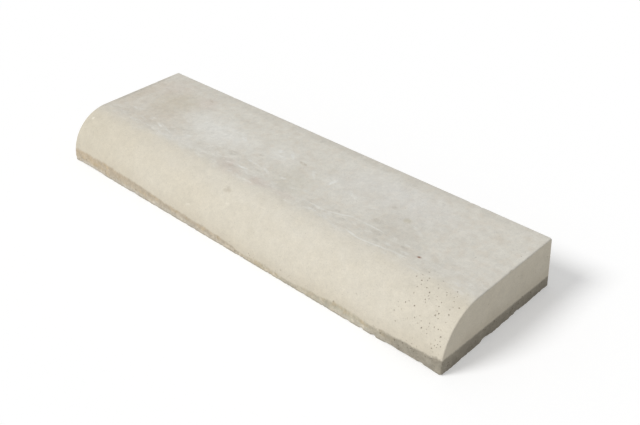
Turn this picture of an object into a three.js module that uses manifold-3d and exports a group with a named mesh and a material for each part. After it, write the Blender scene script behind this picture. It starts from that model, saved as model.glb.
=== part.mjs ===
// A precast concrete kerb stone: a flat slab with one long edge rounded from the top down to a low lip.
// It was cast upside down in an open mould, so its ends and back lean in a little towards the top,
// its moulded arrises are softened, and its foot, the open side of the mould, is struck off level.
//
// Millimetres, +Z up. X runs along the stone, the rounded edge faces -Y, and the origin is the middle
// of the foot.

import * as THREE from 'three';
import { mergeVertices } from 'three/addons/utils/BufferGeometryUtils.js';
import Module from 'manifold-3d';

// ---- Driving dimensions -----------------------------------------------------------------------

const LENGTH = 1000;              // along the foot
const WIDTH = 300;                // front to back, at the foot
const HEIGHT = 100;
const LIP_HEIGHT = 7;             // upright strip at the front, under the round
const END_DRAFT = 2;              // how far each end leans in over the height
const BACK_DRAFT = 2;             // how far the back leans in over the height
const BACK_ARRIS_RADIUS = 3;      // long edge between the top and the back
const END_ARRIS_RADIUS = 2.5;     // edge round each end, over the round, the top and the back

// ---- Fineness ---------------------------------------------------------------------------------

const ROUND_SEGMENTS = 30;        // facets of the quarter round
const ARRIS_SEGMENTS = 4;         // facets of each softened arris
const STRIKE_DEPTH = 2 * END_ARRIS_RADIUS;    // spare concrete under the foot, taken off by the strike

const CONCRETE_COLOUR = '#cdc6b5';

// ---- Section ----------------------------------------------------------------------------------

// The section looks along the stone: shape x is the distance from the front, shape y the height.
// The round is tangent to the lip and to the top, so its radius is the height that the lip leaves.
function sectionShape() {
  const roundRadius = HEIGHT - LIP_HEIGHT;
  const backLean = BACK_DRAFT / HEIGHT;
  const backAngle = Math.atan(backLean);
  const backAt = (height) => WIDTH - backLean * height;

  const arrisHeight = HEIGHT - BACK_ARRIS_RADIUS;
  const arrisDistance = backAt(arrisHeight) - BACK_ARRIS_RADIUS / Math.cos(backAngle);

  const shape = new THREE.Shape();
  shape.moveTo(0, -STRIKE_DEPTH);
  shape.lineTo(backAt(-STRIKE_DEPTH), -STRIKE_DEPTH);
  appendArc(shape, arrisDistance, arrisHeight, BACK_ARRIS_RADIUS, backAngle, Math.PI / 2, ARRIS_SEGMENTS);
  appendArc(shape, roundRadius, LIP_HEIGHT, roundRadius, Math.PI / 2, Math.PI, ROUND_SEGMENTS);
  shape.closePath();
  return shape;
}

// Each arc has its own number of facets, so its points are added as straight pieces of the outline.
function appendArc(shape, centreX, centreY, radius, startAngle, endAngle, segments) {
  const arc = new THREE.EllipseCurve(centreX, centreY, radius, radius, startAngle, endAngle);
  for (const point of arc.getPoints(segments)) shape.lineTo(point.x, point.y);
}

// ---- Casting ----------------------------------------------------------------------------------

// The section runs the whole length, and the bevel of the extrusion is the arris round each end.
function castBlank() {
  const blank = new THREE.ExtrudeGeometry(sectionShape(), {
    depth: LENGTH - 2 * END_ARRIS_RADIUS,
    steps: 1,
    bevelEnabled: true,
    bevelThickness: END_ARRIS_RADIUS,
    bevelSize: END_ARRIS_RADIUS,
    bevelOffset: -END_ARRIS_RADIUS,
    bevelSegments: ARRIS_SEGMENTS,
  });
  blank.translate(0, 0, END_ARRIS_RADIUS - LENGTH / 2);

  const alongX = new THREE.Vector3(1, 0, 0);
  const towardsBack = new THREE.Vector3(0, 1, 0);
  const up = new THREE.Vector3(0, 0, 1);
  blank.applyMatrix4(new THREE.Matrix4().makeBasis(towardsBack, up, alongX));

  leanEndsIn(blank);
  return blank;
}

// Moves each half of the blank along X in proportion to height, so the foot keeps its full length.
function leanEndsIn(geometry) {
  const place = geometry.attributes.position;
  for (let i = 0; i < place.count; i += 1) {
    const lean = END_DRAFT * place.getZ(i) / HEIGHT;
    place.setX(i, place.getX(i) - Math.sign(place.getX(i)) * lean);
  }
}

// What the strike takes off: everything below the foot.
function strikeBlock() {
  const overlap = 4 * STRIKE_DEPTH;
  const block = new THREE.BoxGeometry(LENGTH + overlap, WIDTH + overlap, 2 * STRIKE_DEPTH);
  block.translate(0, WIDTH / 2, -STRIKE_DEPTH);
  return block;
}

// ---- Booleans ---------------------------------------------------------------------------------

const wasm = await Module();
wasm.setup();

function toSolid(geometry) {
  const positionsOnly = new THREE.BufferGeometry();
  positionsOnly.setAttribute('position', geometry.attributes.position.clone());
  if (geometry.index) positionsOnly.setIndex(geometry.index.clone());
  const merged = mergeVertices(positionsOnly, 1e-4);
  return new wasm.Manifold(new wasm.Mesh({
    numProp: 3,
    vertProperties: new Float32Array(merged.attributes.position.array),
    triVerts: new Uint32Array(merged.index.array),
  }));
}

function toGeometry(solid) {
  const mesh = solid.getMesh();
  const geometry = new THREE.BufferGeometry();
  geometry.setAttribute('position', new THREE.BufferAttribute(new Float32Array(mesh.vertProperties), 3));
  geometry.setIndex(new THREE.BufferAttribute(new Uint32Array(mesh.triVerts), 1));
  geometry.computeVertexNormals();
  return geometry;
}

// ---- The stone --------------------------------------------------------------------------------

const concrete = new THREE.MeshStandardMaterial({
  name: 'concrete',
  color: CONCRETE_COLOUR,
  roughness: 0.92,
  metalness: 0,
});

const struck = toSolid(castBlank()).subtract(toSolid(strikeBlock()));
const kerbStone = new THREE.Mesh(toGeometry(struck), concrete);
kerbStone.name = 'kerb_stone';
kerbStone.position.y = -WIDTH / 2;

const kerb = new THREE.Group();
kerb.name = 'kerb';
kerb.add(kerbStone);

export default kerb;
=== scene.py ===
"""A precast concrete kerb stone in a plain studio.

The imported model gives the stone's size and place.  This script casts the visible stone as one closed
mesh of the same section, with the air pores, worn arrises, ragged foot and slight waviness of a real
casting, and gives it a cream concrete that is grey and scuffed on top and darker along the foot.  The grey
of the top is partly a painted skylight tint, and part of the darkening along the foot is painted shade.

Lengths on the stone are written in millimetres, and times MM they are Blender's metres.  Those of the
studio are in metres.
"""

from collections import namedtuple
from math import atan, ceil, cos, pi, radians, sin, tau

import bpy
import numpy as np
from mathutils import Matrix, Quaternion, Vector, noise
from mathutils.geometry import delaunay_2d_cdt


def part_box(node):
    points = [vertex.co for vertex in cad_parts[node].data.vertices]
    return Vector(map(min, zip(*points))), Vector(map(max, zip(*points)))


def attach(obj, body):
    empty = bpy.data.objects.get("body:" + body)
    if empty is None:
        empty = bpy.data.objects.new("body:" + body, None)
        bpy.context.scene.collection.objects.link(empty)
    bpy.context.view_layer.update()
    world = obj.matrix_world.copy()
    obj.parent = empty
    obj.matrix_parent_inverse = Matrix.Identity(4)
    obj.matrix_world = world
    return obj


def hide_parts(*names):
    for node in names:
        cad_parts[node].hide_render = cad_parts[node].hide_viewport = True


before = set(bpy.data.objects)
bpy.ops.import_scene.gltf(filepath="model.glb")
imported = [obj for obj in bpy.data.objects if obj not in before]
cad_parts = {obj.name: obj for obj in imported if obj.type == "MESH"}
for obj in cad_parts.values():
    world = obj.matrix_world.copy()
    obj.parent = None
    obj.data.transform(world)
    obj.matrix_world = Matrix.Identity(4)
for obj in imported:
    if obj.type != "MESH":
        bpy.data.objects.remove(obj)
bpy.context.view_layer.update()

NODE = "kerb_stone"
MM = 0.001


# ---- Sizes of the stone ----

low_corner, high_corner = (np.array(corner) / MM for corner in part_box(NODE))
LEFT, FRONT, _ = low_corner
RIGHT, BACK, HEIGHT = high_corner
LENGTH, WIDTH = RIGHT - LEFT, BACK - FRONT

LIP_HEIGHT = 7.0  # upright strip at the front, under the round
END_DRAFT = 2.0   # how far each end leans in over the height
BACK_DRAFT = 2.0  # how far the back leans in over the height
BACK_ARRIS_RADIUS = 3.0
END_ARRIS_RADIUS = 2.5

ROUND_RADIUS = HEIGHT - LIP_HEIGHT
BACK_LEAN = atan(BACK_DRAFT / HEIGHT)
ARRIS_TURN = pi / 2 - BACK_LEAN

# The outline of the section is measured by the arc length from the front foot edge: up the lip, over
# the round, along the top, over the back arris and down the back.
ARRIS_CENTRE_Z = HEIGHT - BACK_ARRIS_RADIUS
ARRIS_CENTRE_Y = WIDTH - BACK_DRAFT * ARRIS_CENTRE_Z / HEIGHT - BACK_ARRIS_RADIUS / cos(BACK_LEAN)
ROUND_START = LIP_HEIGHT
TOP_START = ROUND_START + ROUND_RADIUS * pi / 2
BACK_ARRIS_START = TOP_START + ARRIS_CENTRE_Y - ROUND_RADIUS
BACK_START = BACK_ARRIS_START + BACK_ARRIS_RADIUS * ARRIS_TURN
BACK_FALL = ARRIS_CENTRE_Z + BACK_ARRIS_RADIUS * sin(BACK_LEAN)
OUTLINE_LENGTH = BACK_START + BACK_FALL / cos(BACK_LEAN)

# Along the stone, places are measured from the middle and run on over the arris of each end.
STRAIGHT_HALF = RIGHT - END_ARRIS_RADIUS
SHELL_HALF = STRAIGHT_HALF + END_ARRIS_RADIUS * pi / 2


# ---- The dark band along the foot ----

# Height of its upper edge on the front, by the place along the stone.
BAND_EDGE_FRONT = [
    (-500, 26), (-475, 28), (-440, 29), (-390, 30), (-340, 28), (-280, 27), (-240, 24), (-190, 22),
    (-150, 20), (-80, 18), (-40, 17), (0, 14), (45, 9), (90, 13), (125, 12), (165, 9), (200, 12), (240, 17),
    (275, 21), (325, 21), (365, 17), (385, 22), (410, 22), (450, 24), (475, 26.5), (500, 28.5),
]
BAND_EDGE_NEAR_FRONT = 28.5  # height on the ends and the back, at the front corner
BAND_EDGE_AT_BACK = 20.5
BAND_FRONT_REACH = 30.0      # over this depth the front's edge gives way to the ends'


# ---- Surface points ----

def outline(along, inset):
    """Points of the section, as y from the front and z, drawn in by inset, and their outward normals."""
    turn = np.clip((along - ROUND_START) / ROUND_RADIUS, 0, pi / 2)
    bend = np.clip((along - BACK_ARRIS_START) / BACK_ARRIS_RADIUS, 0, ARRIS_TURN)
    up_lip = np.minimum(along, ROUND_START)
    over_top = np.clip(along, TOP_START, BACK_ARRIS_START) - TOP_START
    down_back = np.maximum(along - BACK_START, 0)

    y = (ROUND_RADIUS * (1 - np.cos(turn)) + over_top
         + BACK_ARRIS_RADIUS * np.sin(bend) + down_back * sin(BACK_LEAN))
    z = (up_lip + ROUND_RADIUS * np.sin(turn)
         - BACK_ARRIS_RADIUS * (1 - np.cos(bend)) - down_back * cos(BACK_LEAN))
    heading = pi / 2 - turn - bend
    normal_y, normal_z = -np.sin(heading), np.cos(heading)
    return y - inset * normal_y, np.maximum(z - inset * normal_z, 0), normal_y, normal_z


def lean_in(x, z):
    """Draws the ends in with height."""
    return x * (1 - END_DRAFT * z / HEIGHT / RIGHT)


def place_on_shell(across, along):
    """Points and normals on the moulded surface, which runs over the arris of each end."""
    side = np.sign(across)
    over = np.clip((np.abs(across) - STRAIGHT_HALF) / END_ARRIS_RADIUS, 0, pi / 2)
    y, z, normal_y, normal_z = outline(along, END_ARRIS_RADIUS * (1 - np.cos(over)))
    x = side * (np.minimum(np.abs(across), STRAIGHT_HALF) + END_ARRIS_RADIUS * np.sin(over))
    points = np.column_stack([lean_in(x, z), y + FRONT, z])
    normals = np.column_stack([side * np.sin(over), normal_y * np.cos(over), normal_z * np.cos(over)])
    return points, normals


def place_on_end(side, y, z):
    """Points and normals on the right end, side 1, or on the left end, side -1."""
    points = np.column_stack([lean_in(np.full_like(y, side * RIGHT), z), y + FRONT, z])
    return points, np.tile([side, 0.0, 0.0], (len(y), 1))


def place_on_foot(x, y):
    """Points and normals on the underside."""
    return np.column_stack([x, y, np.zeros_like(x)]), np.tile([0.0, 0.0, -1.0], (len(x), 1))


# ---- Air pores ----

# Fields of pores: the rectangle that each covers on its sheet, how many it holds and their usual radius.
SHELL_PORES = [
    ((392, 16), (491, 158), 88, 0.92),    # round and shoulder, right end
    ((150, 26), (376, 130), 22, 0.55),    # round, right half
    ((-491, 40), (150, 130), 40, 0.52),   # round, left half
    ((-490, 160), (490, 345), 44, 0.58),  # top
    ((380, 160), (490, 300), 12, 0.72),   # top, right end
    ((-490, 4), (490, 24), 90, 0.90),     # along the foot at the front
    ((-490, 362), (490, 430), 90, 0.90),  # back
    ((-490, 430), (490, 452), 70, 1.00),  # along the foot at the back
]
END_PORES = [
    ((60, 32), (290, 92), 22, 0.70),
    ((15, 4), (290, 26), 34, 0.95),
]
SHELL_SEEDS = (3, 5)       # for where its pores are, and for their shapes
END_SEEDS = [(1, (17, 18)), (-1, (23, 24))]  # the same, after the side of each end
PORE_GAP = 2.4             # least clear distance between two pores
TRIES_PER_PORE = 20
WIDEST_PORE = 2.0
PORE_VARIETY = 0.22        # spread of the radii, as a logarithm
PORE_STRETCH = (0.8, 1.2)  # stretch along x and shrink along y, least and most
PORE_LOBES = (0.10, 0.06)  # how far its rim swings, in two lobes and in three
PORE_DEPTH = (0.75, 1.25)  # as a share of its radius
PORE_RINGS = [(1.0, 0.0), (0.86, 0.5), (0.5, 0.88)]  # share of the radius, share of the depth
PORE_WALL = 0.45           # a ring this far outside the pore keeps its rim crisp
RING_SPACING = 0.75
FEWEST_IN_RING = 6
PORE_ROOM = 1.3            # the mesh round a pore starts at its radius times this,
PORE_MARGIN = 1.05         # and this much further out


def scatter_pores(fields, seed):
    """Centres and radii of the pores of one sheet, none nearer to another than PORE_GAP."""
    chance = np.random.default_rng(seed)
    kept = np.empty((0, 3))
    for low, high, count, usual_radius in fields:
        wanted = len(kept) + count
        for _ in range(count * TRIES_PER_PORE):
            if len(kept) == wanted:
                break
            centre = chance.uniform(low, high)
            radius = min(usual_radius * chance.lognormal(0, PORE_VARIETY), WIDEST_PORE)
            apart = np.hypot(*(kept[:, :2] - centre).T) - kept[:, 2] - radius
            if np.all(apart > PORE_GAP):
                kept = np.vstack([kept, [*centre, radius]])
    return kept


def pore_rings(pores, seed):
    """Points of every pore, from a crisp rim down to its floor, with the depth of each."""
    chance = np.random.default_rng(seed)
    two_lobes, three_lobes = PORE_LOBES
    places, depths = [], []
    for x, y, radius in pores:
        stretch = chance.uniform(*PORE_STRETCH)
        slant = chance.uniform(0, pi)
        depth = radius * chance.uniform(*PORE_DEPTH)
        for share, sunk in [(1 + PORE_WALL / radius, 0.0), *PORE_RINGS]:
            count = max(FEWEST_IN_RING, ceil(tau * radius * share / RING_SPACING))
            angles = slant + tau * np.arange(count) / count
            wobble = 1 + two_lobes * np.sin(2 * angles + slant) + three_lobes * np.sin(3 * angles - slant)
            reach = radius * share * wobble
            places.append(np.column_stack([x + reach * stretch * np.cos(angles),
                                           y + reach / stretch * np.sin(angles)]))
            depths.append(np.full(count, depth * sunk))
        places.append(np.array([[x, y]]))
        depths.append(np.array([depth]))
    return np.vstack(places), np.concatenate(depths)


def clear_of_pores(places, pores):
    """True for each place that no pore or its rim takes up."""
    clear = np.ones(len(places), bool)
    for x, y, radius in pores:
        clear &= np.hypot(places[:, 0] - x, places[:, 1] - y) > PORE_ROOM * radius + PORE_MARGIN
    return clear


# ---- Grids ----

# Zones of the outline, and the spacing of the mesh in each: close at the foot and the arrises.
OUTLINE_ZONES = [
    (0, 12, 1.6),
    (12, 36, 2.2),
    (36, TOP_START, 2.9),
    (TOP_START, BACK_ARRIS_START - 5, 3.5),
    (BACK_ARRIS_START - 5, BACK_ARRIS_START, 2.3),
    (BACK_ARRIS_START, BACK_START, 1.1),
    (BACK_START, BACK_START + 6, 2.6),
    (BACK_START + 6, OUTLINE_LENGTH - 24, 4.2),
    (OUTLINE_LENGTH - 24, OUTLINE_LENGTH, 2.4),
]
ARRIS_COLUMNS = 4            # strips over each end arris
ARRIS_LEAD = 1.6             # one more column stands this far before the arris
ARRIS_CLEARANCE = 0.4        # and the staggered points end this far before that column
END_ZONES = [(1.5, 9.0, 1.9), (10.3, HEIGHT, 2.8)]  # heights and spacing
END_START = 2.0              # from the front and the back to the grid of the end
END_MARGIN = 1.3             # from the arris to that grid
END_FOOT_SPACING = 1.5
FOOT_RIM = 12.0              # width of the finer strip round the foot
FOOT_RIM_START = (3.5, 3.0)  # from the ends, and from the front and back, to the strip's first points
FOOT_RIM_SPACING = 2.4
FOOT_RIM_GAP = 3.0           # from the strip to the wider grid
FOOT_SPACING = 7.5
SAME_PLACE = 1e-7            # two places nearer than this would be one
LEAST_HEIGHT = 0.005         # a flatter triangle only bridges two points of a straight rim


def staggered(low, high, spacing, row):
    """Evenly spaced places from low to high, every second row shifted by half a step."""
    count = round((high - low) / spacing)
    step = (high - low) / count
    return low + step * (np.arange(count) + (0.25 if row % 2 else 0.75))


def grid_inside(low, high, spacing):
    """A staggered grid that fills a rectangle."""
    heights = np.arange(low[1], high[1], spacing * sin(pi / 3))
    rows = [staggered(low[0], high[0], spacing, number) for number in range(len(heights))]
    return np.vstack([np.column_stack([row, np.full(len(row), at)]) for row, at in zip(rows, heights)])


def shell_rows():
    """Arc lengths of the rows over the outline, with the spacing of the points in each."""
    rows = []
    for start, end, spacing in OUTLINE_ZONES:
        count = ceil((end - start) / spacing)
        rows += [(start + (end - start) * number / count, spacing) for number in range(count)]
    return [*rows, (OUTLINE_LENGTH, OUTLINE_ZONES[-1][2])]


def shell_grid(pores):
    """Places on the moulded surface as (across, along), apart from the pores."""
    strips = STRAIGHT_HALF + (SHELL_HALF - STRAIGHT_HALF) * np.arange(ARRIS_COLUMNS + 1) / ARRIS_COLUMNS
    columns = np.concatenate([[STRAIGHT_HALF - ARRIS_LEAD], strips])
    columns = np.concatenate([-columns[::-1], columns])
    reach = STRAIGHT_HALF - ARRIS_LEAD - ARRIS_CLEARANCE
    places = []
    for number, (along, spacing) in enumerate(shell_rows()):
        across = np.sort(np.concatenate([columns, staggered(-reach, reach, spacing, number)]))
        places.append(np.column_stack([across, np.full(len(across), along)]))
    places = np.vstack(places)
    return places[clear_of_pores(places, pores)]


def inside_section(places, margin):
    """True for each (y, z) at least margin inside the section."""
    y, z = places.T
    before_round = np.clip(ROUND_RADIUS - y, 0, None)
    above_lip = np.clip(z - LIP_HEIGHT, 0, None)
    return ((np.hypot(before_round, above_lip) < ROUND_RADIUS - margin)
            & (z < HEIGHT - margin) & (y < WIDTH - BACK_DRAFT * z / HEIGHT - margin))


def end_grid(pores):
    """Places on an end as (y from the front, z), apart from the pores."""
    places = np.vstack([grid_inside((END_START, low), (WIDTH - END_START, high), spacing)
                        for low, high, spacing in END_ZONES])
    return places[inside_section(places, END_ARRIS_RADIUS + END_MARGIN) & clear_of_pores(places, pores)]


def foot_grid():
    """Places on the underside as (x, y), closer together round its rim."""
    corner = np.array([RIGHT, BACK])
    reach = corner - FOOT_RIM_START
    rim = grid_inside(-reach, reach, FOOT_RIM_SPACING)
    from_edge = np.min(corner - np.abs(rim), axis=1)
    reach = corner - FOOT_RIM - FOOT_RIM_GAP
    return np.vstack([rim[from_edge < FOOT_RIM], grid_inside(-reach, reach, FOOT_SPACING)])


def triangles_of(places):
    """Delaunay triangles of a sheet's places, all turning the same way, without the slivers at its rim."""
    found = delaunay_2d_cdt([Vector(place) for place in places], [], [], 0, SAME_PLACE)
    if len(found[0]) != len(places):
        raise ValueError("two places of a sheet are the same")
    corners = np.array(found[2])
    a, b, c = (places[corners[:, k]] for k in range(3))
    doubled_area = (b[:, 0] - a[:, 0]) * (c[:, 1] - a[:, 1]) - (b[:, 1] - a[:, 1]) * (c[:, 0] - a[:, 0])
    longest = np.max([np.linalg.norm(a - b, axis=1), np.linalg.norm(b - c, axis=1),
                      np.linalg.norm(c - a, axis=1)], axis=0)
    corners[doubled_area < 0] = corners[doubled_area < 0][:, ::-1]
    return corners[np.abs(doubled_area) > LEAST_HEIGHT * longest]


# ---- Chips ----

# A chip is a shallow scoop out of an edge: where it is, which way the edge points, half its length
# along the edge and its depth into the corner.
Chip = namedtuple("Chip", "at outward half_length depth")

# Which way each edge points.
FRONT_FOOT = (0, -1, -1)
BACK_FOOT = (0, 1, -1)
RIGHT_FOOT = (1, 0, -1)
LEFT_FOOT = (-1, 0, -1)
BACK_ARRIS = (0, 1, 1)

FRONT_FOOT_CHIPS = [  # place along the stone, half length, depth
    (444, 66, 2.4), (459, 8, 4.2), (432, 5, 0.8), (399, 20, 2.8), (362, 6, 3.0), (335, 5.5, 2.4),
    (304, 7, 1.3), (248, 4, 1.6), (218, 5, 0.7), (176, 3, 0.9), (160, 3, 0.9), (147, 3, 0.8),
    (111, 4, 1.5), (96, 3, 0.6), (66, 4, 0.7), (43, 4, 1.8), (28, 3, 1.1), (-22, 5, 0.8), (-95, 3, 1.2),
    (-120, 5, 1.3), (-175, 5, 1.1), (-236, 5, 0.8), (-288, 10, 1.9), (-366, 6, 1.3), (-408, 15, 2.1),
    (-427, 6, 1.4), (-453, 6, 2.3), (-477, 7, 2.2), (-442, 56, 1.9),
]
RIGHT_FOOT_CHIPS = [  # place from the middle towards the back, half length, depth
    (-37, 13, 3.6), (-24, 8, 2.0), (54, 8, 2.9), (66, 7, 1.3), (-96, 6, 1.0), (12, 7, 1.0), (104, 7, 0.9),
]
CORNER_CHIPS = [
    Chip((RIGHT, FRONT, 0), (1, -1, -1), 8.0, 3.4),
    Chip((RIGHT, BACK, 0), (1, 1, -1), 4.5, 1.3),
    Chip((LEFT, FRONT, 0), (-1, -1, -1), 6.0, 2.2),
    Chip((RIGHT - END_DRAFT, BACK - BACK_DRAFT, HEIGHT), (1, 1, 1), 6.0, 3.2),
    Chip((LEFT + END_DRAFT, BACK - BACK_DRAFT, HEIGHT), (-1, 1, 1), 5.0, 2.4),
]

# Wear of the straight edges: where an edge starts and ends and which way it points, then the distance
# between its chips, and their usual half length and depth.
EDGE_WEAR = [
    ((LEFT, FRONT, 0), (RIGHT, FRONT, 0), FRONT_FOOT, 6.5, 2.8, 0.50),
    ((RIGHT, FRONT, 0), (RIGHT, BACK, 0), RIGHT_FOOT, 6.5, 3.0, 0.60),
    ((LEFT, FRONT, 0), (LEFT, BACK, 0), LEFT_FOOT, 6.5, 3.0, 0.60),
    ((LEFT, FRONT, 0), (LEFT, BACK, 0), LEFT_FOOT, 45.0, 7.0, 1.50),
    ((LEFT, BACK, 0), (RIGHT, BACK, 0), BACK_FOOT, 9.0, 3.2, 0.60),
    ((LEFT, BACK, 0), (RIGHT, BACK, 0), BACK_FOOT, 70.0, 8.0, 1.40),
    ((LEFT, BACK - BACK_DRAFT, HEIGHT), (RIGHT, BACK - BACK_DRAFT, HEIGHT), BACK_ARRIS, 30.0, 3.5, 1.2),
]
WEAR_SEED = 41
WEAR_VARIETY = 0.45    # spread of the sizes, as a logarithm
LARGEST_WEAR = 2.5     # times the usual size
NICK_PITCH = 17.0      # of the nicks in the arris of each end
NICK_HALF_LENGTH = 2.8
NICK_DEPTH = 0.28
NICK_VARIETY = 0.50
CHIP_ROUGHNESS = 0.32  # of a chip 1 mm deep
CHIP_GRAIN = 2.6       # width of the bumps in a chip


def uneven_shares(count, chance):
    """Places along an edge, from 0 to 1, one in the middle part of each of its count stretches."""
    return (np.arange(count) + chance.uniform(0.1, 0.9, count)) / count


def wear_of_edge(start, end, outward, pitch, half_length, depth, chance):
    """Small chips along a straight edge."""
    start, end = np.array(start, float), np.array(end, float)
    chips = []
    for share in uneven_shares(int(np.linalg.norm(end - start) / pitch), chance):
        size = min(chance.lognormal(0, WEAR_VARIETY), LARGEST_WEAR)
        chips.append(Chip(start + (end - start) * share, outward, half_length * size, depth * size))
    return chips


def wear_of_round(side, chance):
    """Small nicks along the arris of one end.  The mould rounded it, so they start past that round."""
    rounded_off = END_ARRIS_RADIUS * (2 ** 0.5 - 1)
    nicks = []
    for share in uneven_shares(int(BACK_ARRIS_START / NICK_PITCH), chance):
        y, z, normal_y, normal_z = outline(share * BACK_ARRIS_START, 0)
        at = (lean_in(side * RIGHT, z), y + FRONT, z)
        size = chance.lognormal(0, NICK_VARIETY)
        depth = rounded_off + NICK_DEPTH * size
        nicks.append(Chip(at, (side, normal_y, normal_z), NICK_HALF_LENGTH * size, depth))
    return nicks


def all_chips():
    """The large chips, each in its own place, and then the small wear, scattered by chance."""
    chips = [Chip((x, FRONT, 0), FRONT_FOOT, half, depth) for x, half, depth in FRONT_FOOT_CHIPS]
    chips += [Chip((RIGHT, y, 0), RIGHT_FOOT, half, depth) for y, half, depth in RIGHT_FOOT_CHIPS]
    chips += CORNER_CHIPS
    chance = np.random.default_rng(WEAR_SEED)
    for edge in EDGE_WEAR:
        chips += wear_of_edge(*edge, chance)
    for side in (1, -1):
        chips += wear_of_round(side, chance)
    return chips


def break_edges(points, chips):
    """Pushes what a chip takes away back onto the chip's surface.  Returns how far each point moved."""
    before = points.copy()
    for number, chip in enumerate(chips):
        outward = np.array(chip.outward, float)
        outward /= np.linalg.norm(outward)
        radius = (chip.half_length ** 2 + chip.depth ** 2) / (2 * chip.depth)
        centre = np.array(chip.at, float) + outward * (radius - chip.depth)
        roughness = CHIP_ROUGHNESS * chip.depth ** 0.5
        near = np.flatnonzero(np.abs(points[:, 0] - centre[0]) < radius + roughness)
        near = near[np.linalg.norm(points[near] - centre, axis=1) < radius + roughness]
        offset = points[near] - centre
        distance = np.linalg.norm(offset, axis=1)
        grit = [noise.noise(Vector(point) / CHIP_GRAIN + Vector((number, 0, 0))) for point in points[near]]
        wall = radius + roughness * np.array(grit)
        inside = distance < wall
        points[near[inside]] = centre + offset[inside] * (wall / distance)[inside, None]
    return np.linalg.norm(points - before, axis=1)


# ---- Relief ----

# A kind of unevenness: its depth, the width of its broadest waves, its octaves of noise, each half as
# wide and as deep as the last, the level of noise that it starts from, and a shift of its own.
Relief = namedtuple("Relief", "depth width octaves start shift")

SWELL = Relief(0.40, 130.0, 2, 0.0, 11.3)            # slow waves that the mould's panels leave
SKIN = Relief(0.08, 9.0, 2, 0.0, 47.9)               # fine unevenness of the moulded skin
COARSE = Relief(0.75, 5.5, 3, 0.35, 83.1)            # poorly filled concrete along the foot
STRUCK = Relief(1.4, (60.0, 9.0, 9.0), 4, 0.2, 5.7)  # drag marks of the edge that struck off the foot
COARSE_ONSET = 4.0  # the coarse relief sets in over this height under the band's edge


def sunk_by(relief, points):
    """How far a kind of unevenness sinks each point."""
    places = points / np.array(relief.width) + relief.shift
    values = [noise.fractal(Vector(place), 1.0, 2.0, relief.octaves) for place in places]
    return relief.depth * (np.clip(0.5 + 0.5 * np.array(values), relief.start, 1) - relief.start)


def band_edge(points):
    """Height of the band's upper edge at each point."""
    places, heights = zip(*BAND_EDGE_FRONT)
    front = np.interp(points[:, 0], places, heights)
    from_front = points[:, 1] - FRONT
    behind = BAND_EDGE_NEAR_FRONT + (BAND_EDGE_AT_BACK - BAND_EDGE_NEAR_FRONT) * from_front / WIDTH
    share = np.clip(from_front / BAND_FRONT_REACH, 0, 1)
    return front + (behind - front) * share * share * (3 - 2 * share)


def depth_of_relief(points, on_foot):
    """How far the casting falls short of its mould at each point."""
    in_band = np.clip((band_edge(points) - points[:, 2]) / COARSE_ONSET, 0, 1)
    moulded = sunk_by(SWELL, points) + sunk_by(SKIN, points) + in_band * sunk_by(COARSE, points)
    return np.where(on_foot, sunk_by(STRUCK, points), moulded)


# ---- The stone's mesh ----

SHEET_GAP = 8.0  # between two sheets of the unrolled stone
SHARP_CREASE = radians(38)


def with_pores(fields, grid_round, pore_seed, ring_seed):
    """Places of a sheet, its grid and then its pores, with the depth of the pore that each is in."""
    pores = scatter_pores(fields, pore_seed)
    grid = grid_round(pores)
    rings, depths = pore_rings(pores, ring_seed)
    return np.vstack([grid, rings]), np.concatenate([np.zeros(len(grid)), depths])


class Casting:
    """The stone's surface points as they are laid down, and the flat sheets that join them.

    A sheet is the flat places of its points, the points' numbers, and whether it is seen from behind.
    """

    def __init__(self):
        self.points = np.empty((0, 3))
        self.normals = np.empty((0, 3))
        self.pits = np.empty(0)
        self.sheets = []

    def lay(self, surface, pits):
        """Adds surface points with the depth of the pore that each is in, and returns their numbers."""
        points, normals = surface
        first = len(self.points)
        self.points = np.vstack([self.points, points])
        self.normals = np.vstack([self.normals, normals])
        self.pits = np.concatenate([self.pits, pits])
        return np.arange(first, len(self.points))

    def lay_shell(self):
        """Lays the moulded surface.  Returns its places and numbers."""
        places, pits = with_pores(SHELL_PORES, shell_grid, *SHELL_SEEDS)
        numbers = self.lay(place_on_shell(*places.T), pits)
        self.sheets.append((places, numbers, False))
        return places, numbers

    def lay_end(self, side, rim, seeds):
        """Lays one end inside its rim.  Returns the numbers of its new points on the foot edge."""
        foot_corners = self.points[rim[[0, -1]], 1] - FRONT
        count = ceil((foot_corners[1] - foot_corners[0]) / END_FOOT_SPACING)
        edge_y = np.linspace(*foot_corners, count + 1)[1:-1]
        edge = self.lay(place_on_end(side, edge_y, np.zeros(count - 1)), np.zeros(count - 1))

        places, pits = with_pores(END_PORES, end_grid, *seeds)
        filling = self.lay(place_on_end(side, *places.T), pits)
        members = np.concatenate([rim, edge, filling])
        self.sheets.append((self.points[members][:, 1:], members, side < 0))
        return edge

    def lay_foot(self, rim):
        """Lays the underside inside its rim.  Returns the numbers of its new points."""
        places = foot_grid()
        filling = self.lay(place_on_foot(*places.T), np.zeros(len(places)))
        members = np.concatenate([rim, filling])
        self.sheets.append((self.points[members][:, :2], members, True))
        return filling


def cast_stone():
    """The whole stone as sheets that share the points of their rims, and how far chips moved each point."""
    casting = Casting()
    places, numbers = casting.lay_shell()
    foot_rim = [numbers[(places[:, 1] == 0) | (places[:, 1] == OUTLINE_LENGTH)]]
    for side, seeds in END_SEEDS:
        rim = numbers[places[:, 0] == side * SHELL_HALF]
        foot_rim.append(casting.lay_end(side, rim, seeds))
    under = casting.lay_foot(np.concatenate(foot_rim))

    on_foot = np.zeros(len(casting.points), bool)
    on_foot[under] = True
    sunk = casting.pits + depth_of_relief(casting.points, on_foot)
    casting.points -= casting.normals * sunk[:, None]
    broken = break_edges(casting.points, all_chips())
    np.clip(casting.points, low_corner, high_corner, out=casting.points)
    return casting, broken


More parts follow.
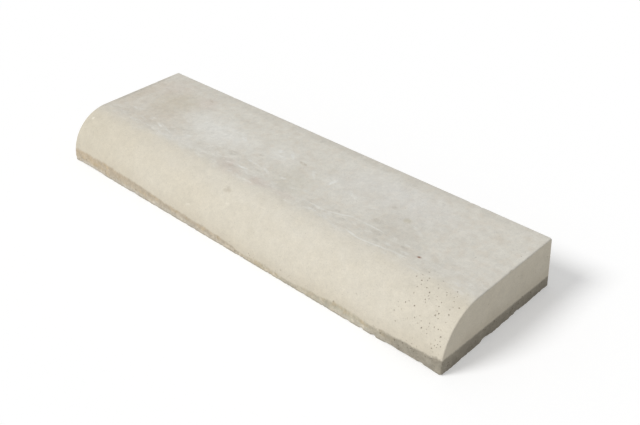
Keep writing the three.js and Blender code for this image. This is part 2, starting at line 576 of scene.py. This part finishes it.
def unrolled(sheets):
    """Places of each sheet's points on one square that holds the whole unrolled stone."""
    shell, right, _, foot = (places.max(0) - places.min(0) for places, _, _ in sheets)
    side = shell[0] + 2 * SHEET_GAP
    above_shell = shell[1] + 2 * SHEET_GAP
    above_foot = above_shell + foot[1] + SHEET_GAP
    starts = [(SHEET_GAP, SHEET_GAP), (SHEET_GAP, above_foot), (2 * SHEET_GAP + right[0], above_foot),
              (SHEET_GAP, above_shell)]
    return [(places - places.min(0) + start) / side for (places, _, _), start in zip(sheets, starts)]


def new_object(name, data):
    """A new object, linked into the scene."""
    created = bpy.data.objects.new(name, data)
    bpy.context.scene.collection.objects.link(created)
    return created


def make_stone():
    """The visible stone, unrolled for baking, with its depth of pore and of breakage at each point."""
    casting, broken = cast_stone()
    faces, corners = [], []
    for (places, members, from_behind), flat in zip(casting.sheets, unrolled(casting.sheets)):
        triangles = triangles_of(places)
        if from_behind:
            triangles = triangles[:, ::-1]
        faces.append(members[triangles])
        corners.append(flat[triangles].reshape(-1, 2))

    mesh = bpy.data.meshes.new("kerb")
    mesh.from_pydata((casting.points * MM).tolist(), [], np.vstack(faces).tolist())
    mesh.uv_layers.new(name="OFBake").uv.foreach_set("vector", np.vstack(corners).ravel())
    for name, values in (("pore_depth", casting.pits), ("broken", np.clip(broken, 0, 1))):
        mesh.attributes.new(name, "FLOAT", "POINT").data.foreach_set("value", values)
    mesh.shade_smooth()
    mesh.set_sharp_from_angle(angle=SHARP_CREASE)
    return new_object("kerb", mesh)


# ---- Node helper ----

# Sockets of a Mix node that blends colours.  Their names are used more than once on the node.
MIX_SHARE, MIX_FROM, MIX_TO, MIXED = 0, 6, 7, 2

# A MapRange node that eases in and out.
SMOOTH = {"interpolation_type": "SMOOTHSTEP"}

# Inputs 1 and 2 of a MapRange node are the range that it reads and 3 and 4 the range that it gives, and
# each is 0 to 1 unless set.  Inputs 0 to 2 of a Math node are its operands.


def linear(hex_colour):
    """A linear RGBA colour from an sRGB hex one."""
    channels = [int(hex_colour[k:k + 2], 16) / 255 for k in (1, 3, 5)]
    return (*[c / 12.92 if c <= 0.04045 else ((c + 0.055) / 1.055) ** 2.4 for c in channels], 1.0)


def empty_tree(owner):
    """The node tree of a material or world, without the nodes that it starts with."""
    owner.use_nodes = True
    owner.node_tree.nodes.clear()
    return owner.node_tree


def add(tree, kind, inputs, output=0, **settings):
    """Adds a shader node with its settings, links or sets its inputs, and returns one of its outputs."""
    node = tree.nodes.new("ShaderNode" + kind)
    for name, value in settings.items():
        setattr(node, name, value)
    for key, value in inputs.items():
        if isinstance(value, bpy.types.NodeSocket):
            tree.links.new(value, node.inputs[key])
        else:
            node.inputs[key].default_value = value
    return node.outputs[output] if node.outputs else None


# ---- Concrete ----

CREAM = "#d5cebe"          # moulded face: white cement and buff sand
CREAM_DEEP = "#d1c9b7"
CREAM_PALE = "#dad5c9"
CREAM_DULL = "#cbc3b0"
TOP_BLOOM_AND_SKY_TINT = "#d9d6cd"          # greyish lime bloom on the top, partly a painted skylight tint
BLOOM_COOL = "#d6d5d3"     # colder on the right
LAITANCE = "#e3e2dc"       # thin white cement milk
SCUFF_GREY = "#bab5aa"
DUN = "#c8bdad"
CLAY_STAIN = "#bdb39d"
OLIVE_STAIN = "#c0bba9"
MAUVE_STAIN = "#cabbb1"
BROWN_STAIN = "#a0927a"
RUST = "#8a6450"
BAND_TAN = "#c0b29b"       # coarse, damp concrete along the foot
BAND_OLIVE = "#bcb2a0"     # from the left quarter on
BAND_BROWN = "#ae9d84"
BAND_OCHRE = "#bda67e"
BAND_GREENISH = "#c4c8b5"  # on the right half
BAND_GREY_AND_PAINTED_SHADE = "#958e80"      # at the right end and off the front, partly painted shade
BAND_CRUMB = "#cfc4b1"
CEMENT_DUST = "#c6bfb1"
# Painted contact shade along the very foot edge.
FOOT_EDGE_PAINTED_SHADE = "#989286"
STRUCK_GREY = "#b1a995"
DARK_SAND = "#8c867a"
PALE_SAND = "#ece6d8"
PORE_SHADE = "#7f776a"
BROKEN = "#c7bca6"

# A mark on the moulded surface is its place and its half size in mm, both along the stone and as arc
# length from the front foot edge, then its slant in degrees, its colour and how strong it is.

# How marks end: the shares of their half size between which they fade, and the width and reach, in mm,
# of the waves that fray their edges.
PATCH_FADE, PATCH_FRAY = (0.25, 1.35), (45, 40)
SCUFF_FADE, SCUFF_FRAY = (0.35, 1.2), (18, 7)
SCRATCH_FADE, SCRATCH_FRAY = (0.45, 1.3), (60, 5)

# Patches fade out slowly.
PATCHES = [
    (230, 90, 340, 76, 0, CREAM_PALE, 0.50),    # paler right half of the round
    (20, 114, 380, 26, 0, CREAM_PALE, 0.48),    # and a pale streak below the shoulder
    (-480, 78, 110, 62, 0, CREAM_DULL, 0.75),   # duller left end of the round
    (-420, 240, 120, 100, 0, DUN, 0.36),        # dull left end of the top
    (-375, 257, 58, 52, 35, CLAY_STAIN, 0.42),
    (-440, 300, 52, 38, 0, MAUVE_STAIN, 0.25),
    (-350, 178, 100, 30, 0, DUN, 0.36),
    (-320, 300, 40, 24, -30, MAUVE_STAIN, 0.36),
    (-220, 233, 90, 46, -8, LAITANCE, 0.85),    # white milk, left of the middle
    (-140, 235, 55, 34, 0, LAITANCE, 0.37),
    (-42, 256, 46, 30, 0, LAITANCE, 0.50),
    (112, 255, 44, 34, 0, LAITANCE, 0.42),
    (180, 222, 60, 28, 0, LAITANCE, 0.15),
    (180, 305, 150, 36, -4, LAITANCE, 0.32),
    (240, 280, 150, 60, 0, BLOOM_COOL, 0.34),
    (-245, 160, 85, 20, 0, LAITANCE, 0.42),
    (-335, 215, 70, 22, 0, DUN, 0.36),
    (-380, 335, 140, 18, 0, SCUFF_GREY, 0.15),
    (-175, 303, 45, 16, 0, SCUFF_GREY, 0.12),
    (95, 275, 50, 30, 0, SCUFF_GREY, 0.14),
    (-90, 158, 42, 19, -6, MAUVE_STAIN, 0.40),  # mauve-brown patches at the shoulder
    (0, 156, 32, 14, 0, MAUVE_STAIN, 0.55),
    (62, 154, 24, 10, 0, MAUVE_STAIN, 0.30),
    (42, 198, 52, 36, -25, OLIVE_STAIN, 0.33),
    (292, 205, 66, 44, -15, SCUFF_GREY, 0.36),  # dull patch, right
    (0, 352, 620, 20, 0, SCUFF_GREY, 0.42),     # along the back arris
    (-478, 250, 20, 60, 0, DUN, 0.50),
    (-485, 182, 42, 36, 0, DUN, 0.28),
]

# Scuffs are small, with frayed edges.
SCUFFS = [
    (-325, 172, 15, 3.5, -18, LAITANCE, 0.80), (-293, 167, 13, 3, -10, LAITANCE, 0.55),
    (-386, 155, 8, 4, 0, LAITANCE, 0.50), (-420, 190, 16, 12, 0, LAITANCE, 0.35),
    (-243, 182, 10, 5, 0, LAITANCE, 0.60), (-325, 312, 13, 4, -12, BROWN_STAIN, 0.22),
    (-275, 191, 10, 6, 0, SCUFF_GREY, 0.35), (-185, 257, 40, 6, 5, LAITANCE, 0.50),
    (-148, 249, 16, 5, -28, LAITANCE, 0.95), (-120, 197, 18, 7, 0, SCUFF_GREY, 0.55),
    (-68, 171, 17, 3.2, 5, LAITANCE, 0.95), (-36, 170, 17, 2.6, 2, LAITANCE, 0.40),
    (-95, 160, 17, 4, 6, BROWN_STAIN, 0.15), (-60, 196, 28, 3, -6, LAITANCE, 0.45),
    (-22, 192, 22, 3, -28, LAITANCE, 0.55), (-40, 183, 12, 4, 0, SCUFF_GREY, 0.50),
    (-55, 260, 8, 6, 0, LAITANCE, 1.00), (-25, 265, 18, 4, -40, LAITANCE, 0.90),
    (-45, 247, 20, 4.5, 0, LAITANCE, 0.65), (12, 256, 12, 4.5, -14, BROWN_STAIN, 0.55),
    (102, 243, 6, 16, -12, LAITANCE, 1.00), (56, 240, 17, 3.5, -40, LAITANCE, 0.60),
    (160, 236, 20, 6, -20, LAITANCE, 0.60), (218, 230, 13, 4, 20, LAITANCE, 0.50),
    (316, 228, 24, 5, -30, LAITANCE, 0.35), (243, 255, 8, 6, 0, SCUFF_GREY, 0.50),
    (248, 203, 13, 9, 0, SCUFF_GREY, 0.45), (285, 238, 10, 8, 0, OLIVE_STAIN, 0.70),
    (268, 176, 16, 5, 0, SCUFF_GREY, 0.45), (330, 173, 8, 4, -8, SCUFF_GREY, 0.80),
    # Small flecks.
    (22, 194, 8, 4, 0, LAITANCE, 0.65), (-292, 220, 8, 4, 0, LAITANCE, 0.60),
    (-76, 198, 7, 3.5, 0, LAITANCE, 0.55), (330, 182, 9, 3, 0, LAITANCE, 0.55),
    (-430, 186, 7, 4, 0, LAITANCE, 0.55), (20, 166, 8, 3, 0, LAITANCE, 0.45),
    (50, 248, 7, 4, 0, LAITANCE, 0.50), (196, 168, 9, 4, 0, SCUFF_GREY, 0.55),
    (-122, 190, 8, 4, 0, SCUFF_GREY, 0.55), (280, 160, 8, 4, 0, SCUFF_GREY, 0.40),
    (-72, 226, 8, 5, 0, SCUFF_GREY, 0.50), (172, 182, 8, 4, 0, SCUFF_GREY, 0.45),
    (-322, 148, 9, 4, 0, SCUFF_GREY, 0.40),
    # Along the left end's arris.
    (-492, 245, 7, 115, 0, SCUFF_GREY, 0.75),
    # On the round, and one at the left end of the top.
    (-42, 108, 13, 8, 3, BROWN_STAIN, 0.36), (58, 62, 11, 11, 0, CLAY_STAIN, 0.18),
    (-117, 45, 7, 3.5, 25, PALE_SAND, 0.50), (-22, 84, 6, 3, 0, PALE_SAND, 0.42),
    (-479, 106, 5, 4, 0, PALE_SAND, 0.75), (-477, 231, 7, 7, 0, CLAY_STAIN, 0.60),
    # A speck of rust.
    (365.5, 169.5, 5.0, 3.4, 0, RUST, 0.95),
]

# Two scratches run along the shoulder.
SCRATCHES = [
    (134, 168, 24, 2.0, 0, LAITANCE, 0.50), (175, 174, 22, 2.0, 15, LAITANCE, 0.60),
    (196, 182, 15, 1.8, 24, LAITANCE, 0.65), (253, 185, 26, 1.8, -1, LAITANCE, 0.65),
    (238, 147, 18, 2.2, -12, LAITANCE, 0.65), (262, 145, 14, 2.2, 4, LAITANCE, 0.50),
    (292, 149, 24, 2.0, 9, LAITANCE, 0.60), (333, 155, 22, 2.0, 2, LAITANCE, 0.45),
]

# Arc lengths between which something sets in or ends on the moulded face.
TOP_TINT_EDGE = (TOP_START - 40, TOP_START + 10)
TOP_TINT_WANDER = (60, 9)       # width and reach of the waves of that edge
SHOULDER_START = (128, 150)  # the shoulder is where the top turns into the round
SHOULDER_END = (165, 215)
FACE_SKIN = (0.8, 2.4)       # the depths between which its finish ends, so that the ends have none


def mottle(tree, place, width, detail=3.0, start=0.3, end=0.7):
    """Cloudy patches, the broadest width mm across, from 0 to 1 where the noise goes from start to end."""
    inputs = {"Vector": place, "Scale": 1 / (width * MM), "Detail": detail, "Roughness": 0.55}
    return add(tree, "MapRange", {0: add(tree, "TexNoise", inputs, "Fac"), 1: start, 2: end})


def sway(tree, value, place, width, reach):
    """Adds to a value waves width mm wide that swing to both sides by reach."""
    wave = add(tree, "MapRange", {0: mottle(tree, place, width), 3: -reach * MM, 4: reach * MM})
    return add(tree, "Math", {0: value, 1: wave}, operation="ADD")


def stain(tree, colour, hex_colour, *shares):
    """Lays a stain or coat over a colour, as strong as the product of its shares."""
    share = shares[0]
    for other in shares[1:]:
        share = add(tree, "Math", {0: share, 1: other}, operation="MULTIPLY")
    inputs = {MIX_SHARE: share, MIX_FROM: colour, MIX_TO: linear(hex_colour)}
    return add(tree, "Mix", inputs, MIXED, data_type="RGBA")


def uneven(tree, colour, place, width, low, high, share=1.0):
    """Varies the brightness of a colour in patches width mm across, from low to high of what it was."""
    shade = add(tree, "MapRange", {0: mottle(tree, place, width), 3: low, 4: high})
    inputs = {MIX_SHARE: share, MIX_FROM: colour, MIX_TO: shade}
    return add(tree, "Mix", inputs, MIXED, data_type="RGBA", blend_type="MULTIPLY")


def unrolled_place(tree, place):
    """Place on the unrolled stone, arc length from the front foot edge, and closeness to the moulded face.

    The last is 1 on that face and 0 a little under it, so it leaves out the ends and the back.
    """
    axes = add(tree, "SeparateXYZ", {0: place}).node.outputs
    from_front = add(tree, "Math", {0: axes["Y"], 1: -FRONT * MM}, operation="ADD")
    over_lip = add(tree, "Math", {0: axes["Z"], 1: LIP_HEIGHT * MM}, operation="SUBTRACT")
    rise = add(tree, "Math", {0: over_lip, 1: 0.0}, operation="MAXIMUM")
    to_centre = add(tree, "Math", {0: ROUND_RADIUS * MM, 1: from_front}, operation="SUBTRACT")
    reach = add(tree, "Math", {0: to_centre, 1: 0.0}, operation="MAXIMUM")
    turn = add(tree, "Math", {0: rise, 1: reach}, operation="ARCTAN2")
    arc = add(tree, "Math", {0: turn, 1: ROUND_RADIUS * MM, 2: LIP_HEIGHT * MM}, operation="MULTIPLY_ADD")
    past_centre = add(tree, "Math", {0: from_front, 1: ROUND_RADIUS * MM}, operation="SUBTRACT")
    past_round = add(tree, "Math", {0: past_centre, 1: 0.0}, operation="MAXIMUM")
    along = add(tree, "Math", {0: arc, 1: past_round}, operation="ADD")
    sheet = add(tree, "CombineXYZ", {0: axes["X"], 1: along})

    spoke = add(tree, "CombineXYZ", {0: rise, 1: reach})
    from_centre = add(tree, "VectorMath", {0: spoke}, "Value", operation="LENGTH")
    full, none = ((ROUND_RADIUS - depth) * MM for depth in FACE_SKIN)
    on_face = add(tree, "MapRange", {0: from_centre, 1: none, 2: full})
    return sheet, along, on_face


def frayed(tree, place, sheet, fray):
    """The unrolled place shifted by noise, so that what is drawn there gets an uneven edge."""
    width, reach = fray
    cloud = add(tree, "TexNoise", {"Vector": place, "Scale": 1 / (width * MM), "Detail": 3.0}, "Color")
    about_zero = add(tree, "VectorMath", {0: cloud, 1: (0.5, 0.5, 0.5)}, operation="SUBTRACT")
    shift = add(tree, "VectorMath", {0: about_zero, "Scale": reach * MM}, operation="SCALE")
    return add(tree, "VectorMath", {0: sheet, 1: shift}, operation="ADD")


def lay_mark(tree, colour, sheet, mark, fade, patchy):
    """Lays one mark over a colour, fading between two shares of its half size."""
    x, along, half_x, half_along, slant, hex_colour, strength = mark
    inner, outer = fade
    reach = outer * MM
    inputs = {"Vector": sheet, "Location": (x * MM, along * MM, 0), "Rotation": (0, 0, radians(slant)),
              "Scale": (half_x * reach, half_along * reach, 1)}
    centred = add(tree, "Mapping", inputs, vector_type="TEXTURE")
    nearness = add(tree, "TexGradient", {"Vector": centred}, "Fac", gradient_type="SPHERICAL")
    inside = add(tree, "MapRange", {0: nearness, 2: 1 - inner / outer, 4: strength}, **SMOOTH)
    return stain(tree, colour, hex_colour, inside, patchy)


def moulded_face(tree, place):
    """Cream concrete off the mould, with bloom and painted skylight tint on top, stains and scuffs.  Also
    the top tint's share.
    """
    sheet, along, on_face = unrolled_place(tree, place)
    colour = stain(tree, linear(CREAM), CREAM_DEEP, mottle(tree, place, 170))

    # Lime bloom and a painted skylight tint on the top.  Its edge wanders along the upper part of the round.
    wandered = sway(tree, along, place, *TOP_TINT_WANDER)
    start, end = (edge * MM for edge in TOP_TINT_EDGE)
    past_edge = add(tree, "MapRange", {0: wandered, 1: start, 2: end}, **SMOOTH)
    on_top = add(tree, "Math", {0: past_edge, 1: on_face}, operation="MULTIPLY")
    colour = stain(tree, colour, TOP_BLOOM_AND_SKY_TINT, on_top, 0.88)
    colour = stain(tree, colour, DUN, on_top, mottle(tree, place, 16, 4.0, 0.45, 0.70), 0.40)

    patch_sheet = frayed(tree, place, sheet, PATCH_FRAY)
    patchy = add(tree, "MapRange", {0: mottle(tree, place, 20), 3: 0.55, 4: 1.0})
    patchy = add(tree, "Math", {0: patchy, 1: on_face}, operation="MULTIPLY")
    for mark in PATCHES:
        colour = lay_mark(tree, colour, patch_sheet, mark, PATCH_FADE, patchy)

    # The shoulder is scuffed lengthwise, dark and light, and the rest of the top a little.
    start, end = (edge * MM for edge in SHOULDER_START)
    rising = add(tree, "MapRange", {0: along, 1: start, 2: end}, **SMOOTH)
    start, end = (edge * MM for edge in SHOULDER_END)
    falling = add(tree, "MapRange", {0: along, 1: end, 2: start, 3: 0.25}, **SMOOTH)
    lengthwise = add(tree, "Mapping", {"Vector": place, "Scale": (0.4, 1, 1)})
    dark, light = mottle(tree, lengthwise, 11, 4.0, 0.42, 0.75), mottle(tree, lengthwise, 8, 3.0, 0.53, 0.75)
    colour = stain(tree, colour, SCUFF_GREY, rising, falling, on_face, dark, 0.31)
    colour = stain(tree, colour, LAITANCE, rising, falling, on_face, light, 0.55)

    scuff_sheet = frayed(tree, place, sheet, SCUFF_FRAY)
    broken_up = mottle(tree, place, 6, 4.0, 0.30, 0.56)
    broken_up = add(tree, "Math", {0: broken_up, 1: on_face}, operation="MULTIPLY")
    for mark in SCUFFS:
        colour = lay_mark(tree, colour, scuff_sheet, mark, SCUFF_FADE, broken_up)
    scratch_sheet = frayed(tree, place, sheet, SCRATCH_FRAY)
    for mark in SCRATCHES:
        colour = lay_mark(tree, colour, scratch_sheet, mark, SCRATCH_FADE, on_face)
    return colour, on_top


EDGE_WAVES = [(35, 1.6), (11, 1.6)]  # width and reach of the waves of the band's edge on the front
EDGE_RIPPLE = (4, 1.2)               # and of the ripple on it all round
EDGE_BLUR = (3.4, -2.6)              # heights over the edge between which the band sets in
SHADE_MARGIN_HEIGHT = 30                     # the margin of painted shade over the band ends this far over the edge
BROWN_LINE = (-13, -3)               # heights over the edge between which the band turns browner


def foot_band(tree, place):
    """Shares of the foot band, of a darker, yellower margin of painted shade over it, and of the browner
    line under its edge.
    """
    axes = add(tree, "SeparateXYZ", {0: place}).node.outputs
    share_along = add(tree, "MapRange", {0: axes["X"], 1: LEFT * MM, 2: RIGHT * MM})
    front = add(tree, "FloatCurve", {"Value": share_along})
    curve = front.node.mapping.curves[0]
    for point, (_, height) in zip(curve.points, (BAND_EDGE_FRONT[0], BAND_EDGE_FRONT[-1])):
        point.location.y = height * MM
    for x, height in BAND_EDGE_FRONT[1:-1]:
        curve.points.new((x - LEFT) / LENGTH, height * MM)
    front.node.mapping.update()

    behind = add(tree, "MapRange", {0: axes["Y"], 1: FRONT * MM, 2: BACK * MM,
                                    3: BAND_EDGE_NEAR_FRONT * MM, 4: BAND_EDGE_AT_BACK * MM})
    off_front = add(tree, "MapRange", {0: axes["Y"], 1: FRONT * MM, 2: (FRONT + BAND_FRONT_REACH) * MM},
                    **SMOOTH)
    for wave in EDGE_WAVES:
        front = sway(tree, front, place, *wave)
    edge = sway(tree, add(tree, "Mix", {0: off_front, 2: front, 3: behind}), place, *EDGE_RIPPLE)
    above = add(tree, "Math", {0: axes["Z"], 1: edge}, operation="SUBTRACT")
    return [add(tree, "MapRange", {0: above, 1: start * MM, 2: end * MM}, **SMOOTH)
            for start, end in (EDGE_BLUR, (SHADE_MARGIN_HEIGHT, 0), BROWN_LINE)]


def band_colour(tree, place, under_edge):
    """Coarse concrete along the foot, with ochre spots.

    It is tan on the left, greener on the right half, and grey at the right end and off the front, a grey
    that is partly painted shade.  It is browner under its edge, then crumbly and pale with cement dust, and
    a darker grey of painted contact shade along the very foot.
    """
    axes = add(tree, "SeparateXYZ", {0: place}).node.outputs
    rightwards = add(tree, "MapRange", {0: axes["X"], 1: -450 * MM, 2: -170 * MM})
    right_half = add(tree, "MapRange", {0: axes["X"], 1: 0.0, 2: 100 * MM, 4: 0.38})
    right_end = add(tree, "MapRange", {0: axes["X"], 1: 330 * MM, 2: 420 * MM})
    off_front = add(tree, "MapRange", {0: axes["Y"], 1: (FRONT + 4) * MM, 2: (FRONT + 40) * MM, 4: 0.85})
    colour = stain(tree, linear(BAND_TAN), BAND_OLIVE, rightwards)
    colour = stain(tree, colour, BAND_GREENISH, right_half)
    colour = stain(tree, colour, BAND_BROWN, under_edge, 0.30)
    colour = stain(tree, colour, BAND_OCHRE, mottle(tree, place, 12, 3.0, 0.50, 0.66), 0.42)
    near_foot = add(tree, "MapRange", {0: axes["Z"], 1: 15 * MM, 2: 9 * MM, 3: 0.10, 4: 0.70})
    colour = stain(tree, colour, BAND_CRUMB, mottle(tree, place, 10, 4.0, 0.44, 0.60), near_foot)
    low_down = add(tree, "MapRange", {0: axes["Z"], 1: 12 * MM, 2: 7 * MM, 4: 0.75})
    past_middle = add(tree, "Math", {0: axes["X"], 1: 80 * MM}, operation="SUBTRACT")
    off_middle = add(tree, "Math", {0: past_middle}, operation="ABSOLUTE")
    dusty = add(tree, "MapRange", {0: off_middle, 1: 80 * MM, 2: 250 * MM, 3: 0.2})
    colour = stain(tree, colour, CEMENT_DUST, mottle(tree, place, 22, 3.0, 0.25, 0.55), low_down, dusty)
    # A darker grey along the very foot edge is painted contact shade.
    foot_edge_shade = add(tree, "MapRange", {0: axes["Z"], 1: 4.0 * MM, 2: 1.5 * MM, 4: 0.7})
    colour = stain(tree, colour, FOOT_EDGE_PAINTED_SHADE, foot_edge_shade)
    # The band's grey at the right end and on the ends and the back is partly painted shade.
    colour = stain(tree, colour, BAND_GREY_AND_PAINTED_SHADE, right_end, 0.85)
    colour = stain(tree, colour, BAND_GREY_AND_PAINTED_SHADE, off_front)
    colour = uneven(tree, colour, place, 14, 0.87, 1.13)
    return uneven(tree, colour, place, 5, 0.92, 1.08)


CLOUDS = [(26, 0.972, 1.028), (8, 0.964, 1.036), (2.6, 0.956, 1.044)]  # width, least and most brightness

# Sand: a few dark grains and a few pale ones.  The real ones are under 1 mm and are drawn about 2 mm
# apart and 1 mm wide, so that they show.  Distance apart, colour, and the share of grains that show.
SANDS = [(2.2, DARK_SAND, 0.14), (1.8, PALE_SAND, 0.20)]


def cast_concrete():
    """Wet-cast concrete of white cement and buff sand: matt, smooth off the mould, sandy close up."""
    material = bpy.data.materials.new("cast_concrete")
    tree = empty_tree(material)
    place = add(tree, "TexCoord", {}, "Object")

    colour, on_top = moulded_face(tree, place)
    for width, low, high in CLOUDS:
        colour = uneven(tree, colour, place, width, low, high)
    colour = uneven(tree, colour, place, 9, 0.96, 1.04, on_top)

    # The foot band, a margin of painted shade over it, and the struck underside.
    band, shade_margin, under_edge = foot_band(tree, place)
    colour = stain(tree, colour, BAND_TAN, shade_margin, 0.16)
    in_band = {MIX_SHARE: band, MIX_FROM: colour, MIX_TO: band_colour(tree, place, under_edge)}
    colour = add(tree, "Mix", in_band, MIXED, data_type="RGBA")
    height = add(tree, "SeparateXYZ", {0: place}, "Z")
    underside = add(tree, "MapRange", {0: height, 1: 1.6 * MM, 2: 0.9 * MM})
    colour = stain(tree, colour, STRUCK_GREY, underside, 0.5)

    for width, hex_colour, kept in SANDS:
        grains = add(tree, "TexVoronoi", {"Vector": place, "Scale": 1 / (width * MM)}).node.outputs
        lot = add(tree, "SeparateColor", {0: grains["Color"]})
        chosen = add(tree, "Math", {0: lot, 1: kept}, operation="LESS_THAN")
        grain = add(tree, "MapRange", {0: grains["Distance"], 1: 0.30, 2: 0.18, 4: 0.36})
        colour = stain(tree, colour, hex_colour, grain, chosen)

    # Broken edges show the inside of the concrete, and pores get painted shade and dirt.
    broken = add(tree, "Attribute", {}, "Fac", attribute_name="broken")
    colour = stain(tree, colour, BROKEN, broken, 0.40)
    pore = add(tree, "Attribute", {}, "Fac", attribute_name="pore_depth")
    colour = stain(tree, colour, PORE_SHADE, add(tree, "MapRange", {0: pore, 1: 0.05, 2: 0.7, 4: 0.5}))

    # Relief too fine for the mesh: sand in the skin, coarser in the band.
    sand = add(tree, "TexNoise", {"Vector": place, "Scale": 1 / (1.3 * MM), "Detail": 3.0}, "Fac")
    skin = add(tree, "Bump", {"Strength": 0.35, "Distance": 0.35 * MM, "Height": sand})
    grit = add(tree, "TexNoise", {"Vector": place, "Scale": 1 / (3.2 * MM), "Detail": 4.0}, "Fac")
    coarse = add(tree, "Math", {0: band, 1: 0.8}, operation="MULTIPLY")
    rough = add(tree, "Bump", {"Strength": coarse, "Distance": 1.2 * MM, "Height": grit, "Normal": skin})
    dull = add(tree, "MapRange", {0: mottle(tree, place, 20), 3: 0.84, 4: 0.95})
    inputs = {"Base Color": colour, "Roughness": dull, "IOR": 1.5, "Normal": rough}
    add(tree, "OutputMaterial", {"Surface": add(tree, "BsdfPrincipled", inputs)})
    return material


# ---- Studio ----

FLOOR_SIZE = 14.0
FLOOR_GAP = 0.05 * MM       # under the foot, so that stone and floor never share a plane
FLOOR_WHITE = 0.80
FILL_LEVEL = 0.45           # what an all-round white sky adds to a colour of 1
KEY_LEVEL = 0.65            # what the lamp adds to a colour of 1 that faces it
KEY_AZIMUTH = radians(-35)  # from the front, to the left
KEY_HEIGHT = radians(44)
KEY_SPREAD = radians(24)

CAMERA_AZIMUTH = radians(45.414)  # from the front, to the right
CAMERA_HEIGHT = radians(34.020)
CAMERA_ROLL = radians(-2.390)
CAMERA_DISTANCE = 1.7617
CAMERA_TARGET = Vector((0.0477, 0.0508, 0.0))
CAMERA_LENS = 50.59  # mm
SENSOR_WIDTH = 36.0  # mm


def towards(azimuth, height):
    """Unit vector away from the stone, by its angle from the front to the right and its angle up."""
    return Vector((sin(azimuth) * cos(height), -cos(azimuth) * cos(height), sin(height)))


def seen_directly(tree):
    """1 where a ray comes from the camera or by way of gloss or glass."""
    path = add(tree, "LightPath", {}).node.outputs
    direct = add(tree, "Math", {0: path["Is Camera Ray"], 1: path["Is Glossy Ray"]}, operation="MAXIMUM")
    return add(tree, "Math", {0: direct, 1: path["Is Transmission Ray"]}, operation="MAXIMUM")


def white_paper():
    """Matt white paper, which reads as white where nothing shades it."""
    material = bpy.data.materials.new("white_paper")
    tree = empty_tree(material)
    paper = add(tree, "BsdfDiffuse", {"Color": (FLOOR_WHITE, FLOOR_WHITE, FLOOR_WHITE, 1)})
    open_level = FLOOR_WHITE * (FILL_LEVEL + KEY_LEVEL * sin(KEY_HEIGHT))
    strength = add(tree, "Math", {0: seen_directly(tree), 1: 1.0 - open_level}, operation="MULTIPLY")
    lift = add(tree, "Emission", {"Strength": strength})
    add(tree, "OutputMaterial", {"Surface": add(tree, "AddShader", {0: paper, 1: lift})})
    return material


def make_floor():
    """A wide floor of paper, just under the foot."""
    half = FLOOR_SIZE / 2
    corners = [(x, y, -FLOOR_GAP) for x, y in ((-half, -half), (half, -half), (half, half), (-half, half))]
    mesh = bpy.data.meshes.new("floor")
    mesh.from_pydata(corners, [], [(0, 1, 2, 3)])
    mesh.materials.append(white_paper())
    new_object("floor", mesh)


def make_lights():
    """One broad lamp, and a sky that is white to the eye and dimmer as a light."""
    lamp = bpy.data.lights.new("key", "SUN")
    lamp.energy = KEY_LEVEL * pi
    lamp.angle = KEY_SPREAD
    key = new_object("key", lamp)
    key.rotation_euler = towards(KEY_AZIMUTH, KEY_HEIGHT).to_track_quat("Z", "Y").to_euler()

    world = bpy.data.worlds.new("studio")
    tree = empty_tree(world)
    level = add(tree, "MapRange", {0: seen_directly(tree), 3: FILL_LEVEL, 4: 1.0})
    sky = add(tree, "Background", {"Color": (1, 1, 1, 1), "Strength": level})
    add(tree, "OutputWorld", {"Surface": sky})
    bpy.context.scene.world = world


def make_camera():
    """The camera, a little above the stone and to the right of its front."""
    camera = new_object("camera", bpy.data.cameras.new("camera"))
    camera.data.lens = CAMERA_LENS
    camera.data.sensor_width = SENSOR_WIDTH
    back = towards(CAMERA_AZIMUTH, CAMERA_HEIGHT)
    camera.location = CAMERA_TARGET + back * CAMERA_DISTANCE
    upright = (-back).to_track_quat("-Z", "Y")
    camera.rotation_mode = "QUATERNION"
    camera.rotation_quaternion = upright @ Quaternion((0, 0, 1), CAMERA_ROLL)
    bpy.context.scene.camera = camera


# ---- The scene ----

make_camera()
make_lights()
make_floor()
bpy.context.scene.view_settings.view_transform = "Standard"

kerb = make_stone()
kerb.data.materials.append(cast_concrete())
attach(kerb, "root")
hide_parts(NODE)

bpy.context.view_layer.update()
